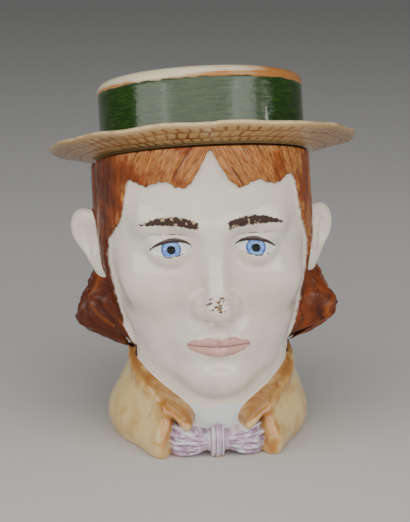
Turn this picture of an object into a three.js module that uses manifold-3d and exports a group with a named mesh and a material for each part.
// Tobacco jar in glazed earthenware: a head that is the jar, and a straw boater that is its lid.
// Millimetres, +Z up, the face towards -Y, the origin at the middle of the flat underside.
// Shapes are signed distances, negative inside: the head's skin is found along level rays from its axis.

import * as THREE from "three";
import { mergeVertices } from "three/addons/utils/BufferGeometryUtils.js";
import Module from "manifold-3d";

const wasm = await Module();
wasm.setup();

// Driving dimensions
const WALL = 6.5; // thickness of the cast wall
const FLOOR = 8; // thickness of the jar's floor
const CHIN = 33; // height of the underside of the chin
const BROW = 131; // the face is in thirds: brow to nose to chin, each EACH_THIRD high
const EACH_THIRD = (BROW - CHIN) / 2;
const NOSE = BROW - EACH_THIRD;
const MOUTH = NOSE - EACH_THIRD / 3;
const EYE = 118; // half way up the whole head
const EYE_WIDTH = 22.6; // the head is five eyes wide
const HAIR = 2.6; // how far the hair stands off the skin
const RIM = { x: -2.4, y: 2, z: 155, tilt: 19.5, roll: 1.2, radius: 57.6 }; // the mouth, tilted back and sideways
const MOUTH_BORE = 49.5; // radius of the jar's opening
const SEAT_GAP = 0.3; // between the rim and the lid that rests on it
const LOCK_WIDTH = 24; // degrees of the head that one broad lock of hair covers
const ROLL_FRONT = 84; // degrees from the face to where the roll of curled ends begins

const lerp = THREE.MathUtils.lerp;
const step = THREE.MathUtils.smoothstep;
const rad = THREE.MathUtils.degToRad;

// The hat's own frame: its origin in the middle of the rim, +Z along the hat's axis.
const rimFrame = new THREE.Matrix4()
  .makeRotationFromEuler(new THREE.Euler(-rad(RIM.tilt), -rad(RIM.roll), 0))
  .setPosition(RIM.x, RIM.y, RIM.z);
const rimNormal = new THREE.Vector3(0, 0, 1).transformDirection(rimFrame);
const rimCentre = new THREE.Vector3().setFromMatrixPosition(rimFrame);

// Signed distances and how they join

const join = (a, b, k) => Math.min(a, b) - Math.max(k - Math.abs(a - b), 0) ** 2 / (4 * k);
const carve = (a, b, k) => -join(-a, b, k);
const overlap = (a, b, k) => -join(-a, -b, k);

function ellipsoid(p, c, r) {
  const q = [(p[0] - c[0]) / r[0], (p[1] - c[1]) / r[1], (p[2] - c[2]) / r[2]];
  const k0 = Math.hypot(...q);
  const k1 = Math.hypot(q[0] / r[0], q[1] / r[1], q[2] / r[2]);
  return k1 < 1e-9 ? -Math.min(...r) : (k0 * (k0 - 1)) / k1;
}

// A bar with round ends, of radius ra at a and rb at b.
function bar(p, a, b, ra, rb = ra) {
  const ab = b.map((v, i) => v - a[i]);
  const ap = p.map((v, i) => v - a[i]);
  const t = THREE.MathUtils.clamp(
    (ap[0] * ab[0] + ap[1] * ab[1] + ap[2] * ab[2]) / (ab[0] ** 2 + ab[1] ** 2 + ab[2] ** 2), 0, 1);
  return Math.hypot(ap[0] - t * ab[0], ap[1] - t * ab[1], ap[2] - t * ab[2]) - lerp(ra, rb, t);
}

// A smooth curve through [at, value] pairs, level past its ends.
function through(pairs) {
  const last = pairs.length - 1;
  const slope = pairs.map((_, i) => {
    const [a, b] = [pairs[Math.max(i - 1, 0)], pairs[Math.min(i + 1, last)]];
    return (b[1] - a[1]) / (b[0] - a[0]);
  });
  return (at) => {
    const t = THREE.MathUtils.clamp(at, pairs[0][0], pairs[last][0]);
    const i = Math.min(Math.max(pairs.findIndex((q) => q[0] >= t) - 1, 0), last - 1);
    const [x0, y0] = pairs[i];
    const [x1, y1] = pairs[i + 1];
    const w = x1 - x0;
    const u = (t - x0) / w;
    return y0 * (1 + 2 * u) * (1 - u) ** 2 + w * slope[i] * u * (1 - u) ** 2 +
      y1 * u * u * (3 - 2 * u) + w * slope[i + 1] * u * u * (u - 1);
  };
}

// How far the head leans sideways at a height: the chin one way, the hat the other.
const lean = (z) => -0.05 * (z - 70) * step(z, 12, 45);

// Degrees round the axis from the front, 0 to 180 on either side.
const turn = (x, y) => THREE.MathUtils.radToDeg(Math.atan2(Math.abs(x), -y));

// Head and face. x is measured from the leaning axis, and each feature is made for both sides at once.

// The plain head by height: its half width, and how far it reaches to the front and to the back.
const halfWidth = through([
  [30, 26], [40, 33], [52, 41], [68, 48], [84, 52], [100, 55], [118, 57], [150, 56.6], [182, 56],
]);
const frontReach = through([
  [30, 44], [44, 50], [56, 49], [68, 49.5], [84, 50], [100, 51], [118, 53.5], [132, 56.5], [152, 57], [182, 54],
]);
const backReach = through([[30, 44], [60, 48], [84, 54], [106, 58.5], [130, 59], [182, 55]]);

function skull(p) {
  const wide = halfWidth(p[2]);
  const deep = p[1] < 0 ? frontReach(p[2]) : backReach(p[2]);
  const around = (Math.abs(p[0] / wide) ** 2.15 + Math.abs(p[1] / deep) ** 2.15) ** (1 / 2.15);
  const cast = (around - 1) * Math.min(wide, deep);
  const jaw = (CHIN + 0.3 - p[2]) * 0.92 + (p[1] + 47) * 0.39; // the plane under the jaw, from chin to ear
  const throat = bar(p, [0, 8, 70], [0, 4, 10], 38, 42);
  return join(overlap(cast, jaw, 9), throat, 5);
}

function eyes(p) {
  const q = [Math.abs(p[0]) - EYE_WIDTH, p[1] + 39.8, p[2] - EYE];
  const ball = Math.hypot(...q);
  const across = q[0] / (EYE_WIDTH / 2);
  const bow = Math.max(1 - across * across, 0);
  const slit = Math.min(4.8 * bow - q[2], q[2] + 3.6 * bow);
  return ball - lerp(13.9, 12.5, step(slit, -0.3, 0.7));
}

function lips(p) {
  const q = [Math.abs(p[0]), p[1], p[2]];
  const upper = bar(q, [3.2, -55.6, MOUTH + 2.7], [18, -49.2, MOUTH + 0.3], 3.4, 1.3);
  const lower = bar(q, [0, -54.4, MOUTH - 4.1], [16, -49, MOUTH - 1.2], 4.2, 1.6);
  return join(upper, lower, 1);
}

function face(p) {
  const q = [Math.abs(p[0]), p[1], p[2]];
  let d = skull(p);
  d = join(d, ellipsoid(q, [31, -33, NOSE + 15], [16, 14, 15]), 14); // cheekbones
  d = join(d, ellipsoid(p, [0, -43, MOUTH + 1], [20, 12, 15]), 11); // the muzzle under the nose
  d = join(d, ellipsoid(p, [0, -43, CHIN + 11.5], [15, 12, 11]), 9); // chin
  d = join(d, bar(q, [8, -51.5, BROW - 3], [33, -43, BROW], 4.5, 4), 12); // brow ridge
  d = carve(d, ellipsoid(q, [EYE_WIDTH - 1, -60, EYE + 0.5], [15, 12, 10.5]), 10); // eye sockets
  d = join(d, eyes(p), 2);
  d = join(d, bar(p, [0, -48.5, EYE + 9], [0, -61.5, NOSE + 9], 5.2, 6.4), 9); // bridge of the nose
  d = join(d, ellipsoid(p, [0, -61.5, NOSE + 5.5], [7.8, 9, 7]), 6); // its tip
  d = join(d, ellipsoid(q, [7.8, -54, NOSE + 4.8], [5.4, 8.2, 6]), 5); // its wings
  d = join(d, bar(p, [0, -56, NOSE + 3], [0, -51.5, MOUTH + 7], 6, 4.5), 6); // foot of the nose
  d = join(d, lips(p), 2);
  return d;
}

// Hair: a raised layer over the skull down to the hairline, locks in it, and a ring of curled ends.

// The lower edge of the fringe: parted in the middle, with two shallow scallops on each side.
const fringe = (x) =>
  154 - 1.7 * Math.cos((2 * Math.PI * (Math.abs(x) - 15)) / 20) + 19 * Math.exp(-((Math.abs(x) / 6) ** 1.4));

// Where the hair begins beside the face, in degrees from the front, at each height.
const temple = through([[60, 80], [74, 77], [88, 75], [103, 73], [116, 68], [130, 58], [148, 53], [157, 49]]);

function underHair(p) {
  const combed = 5 * step(-p[0], 0, 30) * step(p[2], 112, 138); // the hair comes further forward on one side
  const across = (turn(p[0], p[1]) - temple(p[2]) + combed) * rad(1) * 56;
  return -join(-across, -(p[2] - fringe(p[0])), 2);
}

// Each lock of hair is LOCK_WIDTH degrees wide. A lock rounds up from the grooves on either side of it.
function lockRound(p, drift = 0) {
  const degrees = THREE.MathUtils.radToDeg(Math.atan2(p[0], -p[1])) + drift;
  return Math.abs(Math.sin((Math.PI * (degrees - ROLL_FRONT)) / LOCK_WIDTH)) ** 0.6;
}

// A number from -1 to 1 that differs from lock to lock.
function lockVariety(p) {
  const degrees = THREE.MathUtils.radToDeg(Math.atan2(p[0], -p[1])) + 360;
  return Math.sin(2.3 * Math.floor((degrees - ROLL_FRONT) / LOCK_WIDTH));
}

// The roll of curled ends under the ears and round the nape.
const rollReach = through([
  [43, 44], [48, 57], [53, 67], [58, 72.5], [64, 74], [72, 71], [80, 67], [88, 63.5], [98, 56],
]);

function curledEnds(p) {
  const round = turn(p[0], p[1]);
  const groove = 1 - lockRound(p);
  const variety = lockVariety(p);
  const low = 1 - step(p[2], 66, 104);
  const lift = 6 * groove * (1 - step(p[2], 46, 70)) + 5 * (1 - step(round, ROLL_FRONT, ROLL_FRONT + 26));
  const full = rollReach(p[2] - lift - 2 * variety) + low * (1.5 * variety - 5.5 * groove);
  const front = step(round, ROLL_FRONT - 10, ROLL_FRONT + 9);
  return Math.hypot(p[0], (p[1] - 2) * 0.985) - lerp(44, full, front);
}

function head(p) {
  const hair = step(underHair(p), -0.8, 1.2);
  const back = step(turn(p[0], p[1]), 60, 95);
  const falling = back * 2.6 * (lockRound(p, 3 * Math.sin(p[2] / 13)) - 0.6);
  const fringed = (1 - back) * 0.9 * Math.cos(p[0] * 0.62 + 0.04 * (p[2] - 160));
  const layer = hair * (HAIR + falling + fringed) * step(p[2], 48, 60);
  return join(face(p) - layer, curledEnds(p), 4);
}

// Clothes: a standing shirt collar, a coat whose collar and lapels leave the bow tie showing.

const shirtRadius = through([[0, 47.5], [18, 46.5], [34, 43], [46, 40.5], [56, 37]]);
const coatRadius = through([
  [0, 54.5], [8, 57], [16, 56], [23, 53], [31, 49.6], [38, 46.8], [46, 43.6], [54, 41.5],
]);
const coatTop = (round) => 19.5 + 30 * (Math.max(round - 14, 0) / 76) ** 0.62;
const collarUnder = through([[14.5, 16], [18, 16], [23, 20], [27, 22], [40, 19]]);
const LAPEL = 27; // degrees from the front to the lapel's inner edge
const LAPEL_MIDDLE = 31; // and to where it stands out most
const TIP_RAISE = 1; // how far the collar's tips lie over the coat

// A body of revolution flattened front to back.
const flared = (p, radius, depth) => Math.hypot(p[0], (p[1] - 1) / depth) - radius(p[2]);

// The coat's radius: rolled along its top edge and down the lapel, whose tip stands out at the foot.
function coatReach(round, z) {
  const below = coatTop(round) - z;
  const roll = 2.4 * Math.exp(-(((below - 4.5) / 4) ** 2));
  const lapel = 1.4 * Math.exp(-(((round - LAPEL_MIDDLE) / 4) ** 2));
  const foot = 8 * Math.exp(-(((round - LAPEL_MIDDLE) / 13) ** 2)) * step(34 - z, 0, 34);
  const edge = 3 * (1 - Math.sqrt(1 - (1 - Math.min(below / 3, 1)) ** 2));
  return coatRadius(z) + roll + lapel + foot - edge;
}

// A thick sheet bent round the axis, between a lower and an upper edge, its inside hidden in the neck.
function wrap(columns, shares, low, high, raise) {
  const place = (degrees, z, reach) => {
    const a = rad(degrees);
    return new THREE.Vector3(lean(z) + reach * Math.sin(a), 1 - 0.97 * reach * Math.cos(a), z);
  };
  const rows = shares.map((t) => {
    const outer = [];
    const inner = [];
    for (const degrees of columns) {
      const round = Math.abs(degrees > 180 ? degrees - 360 : degrees);
      const z = lerp(low(round), high(round), t);
      outer.push(place(degrees, z, coatReach(round, z) + raise));
      inner.unshift(place(degrees, z, shirtRadius(Math.max(z, 0)) - 7));
    }
    return [...outer, ...inner];
  });
  return stripGrid(rows);
}

function coat() {
  const half = [LAPEL, LAPEL + 1.5, LAPEL + 4, 34, 38, 44, 52, 62, 75, 90, 107, 125, 143, 161];
  const columns = [...half, 180, ...half.map((a) => 360 - a).reverse()];
  const shares = [-0.1, 0.15, 0.32, 0.5, 0.68, 0.81, 0.9, 0.97, 1];
  const body = solid(wrap(columns, shares, () => 0, coatTop, 0));
  const tip = [14.5, 16, 18.5, 21.5, 25, 29, 34, 40];
  const upTip = [0, 0.3, 0.55, 0.75, 0.9, 1];
  const right = solid(wrap(tip, upTip, collarUnder, coatTop, TIP_RAISE));
  const left = solid(wrap(tip.map((a) => 360 - a).reverse(), upTip, collarUnder, coatTop, TIP_RAISE));
  return body.add(right).add(left);
}

// The bow tie: two gathered wings that fan out from a pleated knot.
const WING_AT = [14, -45.5, 8.4];
const KNOT_AT = [0, -49, 8.2];

function wing(p) {
  const [u, v] = [p[0] - 1, p[2] - WING_AT[2]];
  const spread = lerp(5, 9, step(u, 3, 22));
  const pleats = 0.9 * Math.cos((5 * Math.PI * v) / (2 * spread)) * step(u, 2, 9);
  const shape = ellipsoid(p, WING_AT, [12.5, 8.6, 13]) - pleats;
  return overlap(shape, Math.abs(v) - spread, 3);
}

const knot = (p) => ellipsoid(p, KNOT_AT, [5.8 + 0.5 * Math.cos(p[0] * 2.2), 6.6, 10]);

function bowTie() {
  const right = wrapped((x, y, z) => wing([x, y, z]), new THREE.Vector3(...WING_AT), 16, 9);
  const left = mirrored(right);
  const middle = wrapped((x, y, z) => knot([x, y, z]), new THREE.Vector3(...KNOT_AT), 12, 7);
  return [right, left, middle].map(solid);
}

const outside = (x, y, z) => {
  const leaning = [x - lean(z), y, z];
  const shirt = overlap(flared(leaning, shirtRadius, 0.97), z - 52, 3);
  return join(head(leaning), shirt, 1.5);
};

// The plain form under the detail, which the cavity follows one wall's thickness inside, as cast slip would.
const plainForm = (x, y, z) => {
  const leaning = [x - lean(z), y, z];
  const front = step(turn(leaning[0], y), ROLL_FRONT - 10, ROLL_FRONT + 9);
  const roll = Math.hypot(leaning[0], y - 2) - lerp(34, rollReach(z) - 3, front);
  return join(join(skull(leaning), flared(leaning, shirtRadius, 0.97), 12), roll, 10);
};

// One ear. u runs outwards and back from the cheek, n faces forwards and outwards.
const EAR = { x: 54.5, y: -4, z: 108, swing: 52 };

function ear(p) {
  const [s, c] = [Math.sin(rad(EAR.swing)), Math.cos(rad(EAR.swing))];
  const [dx, dy] = [Math.abs(p[0]) - EAR.x, p[1] - EAR.y];
  const z = p[2] - EAR.z;
  const u = dx * s + dy * c - 0.12 * z;
  const n = dx * c - dy * s;
  const upper = ellipsoid([u, n, z], [10.5, 0, 6.5], [12.5, 4.8, 13.5]);
  const lobe = ellipsoid([u, n, z], [5, 0, -10.5], [7, 4.4, 8]);
  return carve(join(upper, lobe, 9), ellipsoid([u, n, z], [9.8, 6, 4.5], [8.2, 5, 11.5]), 2);
}

// Surfaces found along rays, as closed grids

// The outermost place on a ray where the distance comes down to the level.
function along(distance, from, direction, reach, level = 0) {
  let t = reach;
  const at = (s) => distance(from.x + s * direction.x, from.y + s * direction.y, from.z + s * direction.z) - level;
  for (let i = 0; i < 160; i += 1) {
    const d = at(t);
    if (d < 0.02) break;
    t -= Math.max(d * 0.6, 0.02);
  }
  return from.clone().addScaledVector(direction, Math.max(t, 1));
}

// Closes rows of points, all of the same count and each a ring, with a fan at both ends.
function closedGrid(rows, first, last) {
  const n = rows[0].length;
  const points = [...rows.flat(), first, last];
  const faces = [];
  const corner = (r, c) => r * n + (c % n);
  for (let c = 0; c < n; c += 1) {
    for (let r = 0; r + 1 < rows.length; r += 1) {
      faces.push(corner(r, c), corner(r, c + 1), corner(r + 1, c + 1));
      faces.push(corner(r, c), corner(r + 1, c + 1), corner(r + 1, c));
    }
    faces.push(points.length - 2, corner(0, c + 1), corner(0, c));
    faces.push(points.length - 1, corner(rows.length - 1, c), corner(rows.length - 1, c + 1));
  }
  const geometry = new THREE.BufferGeometry();
  geometry.setAttribute("position", new THREE.Float32BufferAttribute(points.flatMap((v) => v.toArray()), 3));
  geometry.setIndex(faces);
  return geometry;
}

// Closes rows of points, all of the same count and each a ring, with a strip across each end row.
// A row goes along the outside and comes back along the inside.
function stripGrid(rows) {
  const n = rows[0].length;
  const faces = [];
  const corner = (r, c) => r * n + (c % n);
  for (let c = 0; c < n; c += 1) {
    for (let r = 0; r + 1 < rows.length; r += 1) {
      faces.push(corner(r, c), corner(r, c + 1), corner(r + 1, c + 1));
      faces.push(corner(r, c), corner(r + 1, c + 1), corner(r + 1, c));
    }
  }
  const last = rows.length - 1;
  for (let c = 0; c + 1 < n / 2; c += 1) {
    const back = n - 1 - c;
    faces.push(corner(0, c), corner(0, back - 1), corner(0, c + 1), corner(0, c), corner(0, back), corner(0, back - 1));
    faces.push(corner(last, c), corner(last, c + 1), corner(last, back - 1));
    faces.push(corner(last, c), corner(last, back - 1), corner(last, back));
  }
  const geometry = new THREE.BufferGeometry();
  geometry.setAttribute("position", new THREE.Float32BufferAttribute(rows.flat().flatMap((v) => v.toArray()), 3));
  geometry.setIndex(faces);
  return geometry;
}

// The same solid on the other side.
function mirrored(geometry) {
  const other = geometry.clone().applyMatrix4(new THREE.Matrix4().makeScale(-1, 1, 1));
  other.setIndex([...other.index.array].reverse());
  return other;
}

// Even steps between stops: [[from, step], ..., [to]].
function stops(...spans) {
  const values = [];
  for (let i = 0; i + 1 < spans.length; i += 1) {
    const [from, size] = spans[i];
    const to = spans[i + 1][0];
    const count = Math.max(Math.round((to - from) / size), 1);
    for (let k = 0; k < count; k += 1) values.push(lerp(from, to, k / count));
  }
  return [...values, spans[spans.length - 1][0]];
}

// Height of a plane parallel to the rim, below it by some depth, over a place.
const rimHeight = (x, y, depth) =>
  rimCentre.z - (rimNormal.x * (x - rimCentre.x) + rimNormal.y * (y - rimCentre.y) + depth) / rimNormal.z;

// A closed skin round the axis. Rows are level at the bottom and come up parallel to the rim at the top.
function skin(distance, level, columns, heights, depth) {
  const top = heights[heights.length - 1];
  const bend = 60;
  const rows = heights.map((height) =>
    columns.map((degrees) => {
      const direction = new THREE.Vector3(Math.sin(rad(degrees)), -Math.cos(rad(degrees)), 0);
      let point = new THREE.Vector3(0, 0, height);
      const share = Math.max((height - bend) / (top - bend), 0);
      for (let i = 0; i < 4; i += 1) {
        const rim = rimHeight(point.x, point.y, depth);
        const z = height + share * (rim - top);
        point = along(distance, new THREE.Vector3(lean(z), 0, z), direction, 100, level);
      }
      return point;
    }));
  const middle = (row) => row.reduce((sum, v) => sum.add(v), new THREE.Vector3()).divideScalar(row.length);
  return closedGrid(rows, middle(rows[0]), middle(rows[rows.length - 1]));
}

// Wraps a grid round a closed shape that can all be seen from one point inside it.
function wrapped(distance, centre, around, up) {
  const rows = [];
  for (let i = 1; i < up; i += 1) {
    const pitch = lerp(-90, 90, i / up);
    rows.push(Array.from({ length: around }, (_, k) => {
      const yaw = (360 * k) / around;
      const direction = new THREE.Vector3(
        Math.cos(rad(pitch)) * Math.cos(rad(yaw)), Math.cos(rad(pitch)) * Math.sin(rad(yaw)), Math.sin(rad(pitch)));
      return along(distance, centre, direction, 30);
    }));
  }
  const end = (sign) => along(distance, centre, new THREE.Vector3(0, 0, sign), 30);
  return closedGrid(rows, end(-1), end(1));
}

// Solids

function solid(geometry) {
  const bare = geometry.clone();
  bare.deleteAttribute("normal");
  bare.deleteAttribute("uv");
  const merged = mergeVertices(bare, 1e-4);
  return new wasm.Manifold(new wasm.Mesh({
    numProp: 3,
    vertProperties: merged.attributes.position.array,
    triVerts: new Uint32Array(merged.index.array),
  }));
}

function geometryOf(manifold) {
  const mesh = manifold.getMesh();
  const geometry = new THREE.BufferGeometry();
  geometry.setAttribute("position", new THREE.BufferAttribute(mesh.vertProperties, 3));
  geometry.setIndex(new THREE.BufferAttribute(mesh.triVerts, 1));
  geometry.computeVertexNormals();
  return geometry;
}

// A cylinder on the hat's axis between two depths.
function hatCylinder(radius, low, high, segments) {
  return new THREE.CylinderGeometry(radius, radius, high - low, segments)
    .rotateX(Math.PI / 2)
    .translate(0, 0, (low + high) / 2)
    .applyMatrix4(rimFrame);
}

// The jar: head, collar and bow tie cast in one, hollow down to its floor.
function jar() {
  const half = stops([0, 3.5], [42, 7], [84, 6], [180]);
  const columns = [...half.slice(1, -1).reverse().map((a) => -a), ...half];
  const heights = stops(
    [-4, 13], [22, 8], [CHIN - 4, 5.2], [MOUTH - 6, 3.7], [NOSE + 14, 5.2], [BROW + 5, 7.7], [RIM.z + 19.5]);
  const outer = solid(skin(outside, 0, columns, heights, 0));
  const earAt = new THREE.Vector3(EAR.x + 5.5, EAR.y + 6.5, EAR.z + 1); // in the thick of its back
  const rightEar = wrapped((x, y, z) => ear([x, y, z]), earAt, 18, 10);
  const ears = [rightEar, mirrored(rightEar)].map((g) => solid(g.translate(lean(EAR.z), 0, 0)));
  const foot = solid(new THREE.BoxGeometry(200, 200, 20).translate(0, 0, -10));
  const cavity = solid(skin(plainForm, -WALL, stops([0, 20], [340]), stops([FLOOR, 14], [RIM.z + 10]), 9));
  const bore = solid(hatCylinder(MOUTH_BORE, -16, 14, 40));
  const cast = [...ears, coat(), ...bowTie()].reduce((all, piece) => all.add(piece), outer);
  return cast.subtract(foot).subtract(cavity).subtract(bore);
}

// The lid: crown, brim and the ring that drops into the jar's mouth, turned as one hollow piece.
const HAT = { crown: 56.4, brim: 84.7, top: 43.5, wall: 5, edge: 3.2, rise: 6.7, ring: 48.6, drop: 7 };

function lid() {
  const seat = SEAT_GAP;
  const corner = 5.5;
  const rounded = Array.from({ length: 4 }, (_, i) => {
    const a = (Math.PI / 2) * (i / 3);
    return [HAT.crown - corner + corner * Math.sin(a) + 0.4, HAT.top - corner + corner * Math.cos(a)];
  });
  const outline = [
    [0, HAT.top - 0.8], [HAT.crown - 16, HAT.top - 0.4], ...rounded, [HAT.crown, HAT.top - 7],
    [HAT.crown, 7], [HAT.crown + 1.6, 6.2],
    [HAT.brim - 0.8, HAT.rise + HAT.edge], [HAT.brim, HAT.rise + HAT.edge / 2], [HAT.brim - 0.8, HAT.rise],
    [RIM.radius + 1.6, seat + 0.8], [RIM.radius + 0.4, seat],
    [HAT.ring, seat], [HAT.ring, -HAT.drop], [HAT.ring - 3.4, -HAT.drop],
    [HAT.ring - 3.4, 5], [HAT.crown - HAT.wall, 9], [HAT.crown - HAT.wall, HAT.top - 9], [HAT.crown - 9, HAT.top - 5],
    [0, HAT.top - 5.6],
  ];
  const turned = new THREE.LatheGeometry(outline.reverse().map(([r, h]) => new THREE.Vector2(r, h)), 42);
  return solid(turned.rotateX(Math.PI / 2).applyMatrix4(rimFrame));
}

const glaze = (color) => new THREE.MeshStandardMaterial({ color, roughness: 0.15, metalness: 0 });

const tobaccoJar = new THREE.Group();

const headJar = new THREE.Mesh(geometryOf(jar()), glaze(0xd9d5d0));
headJar.name = "head_jar";
tobaccoJar.add(headJar);

const hatLid = new THREE.Mesh(geometryOf(lid()), glaze(0xc9b48a));
hatLid.name = "hat_lid";
tobaccoJar.add(hatLid);

export default tobaccoJar;
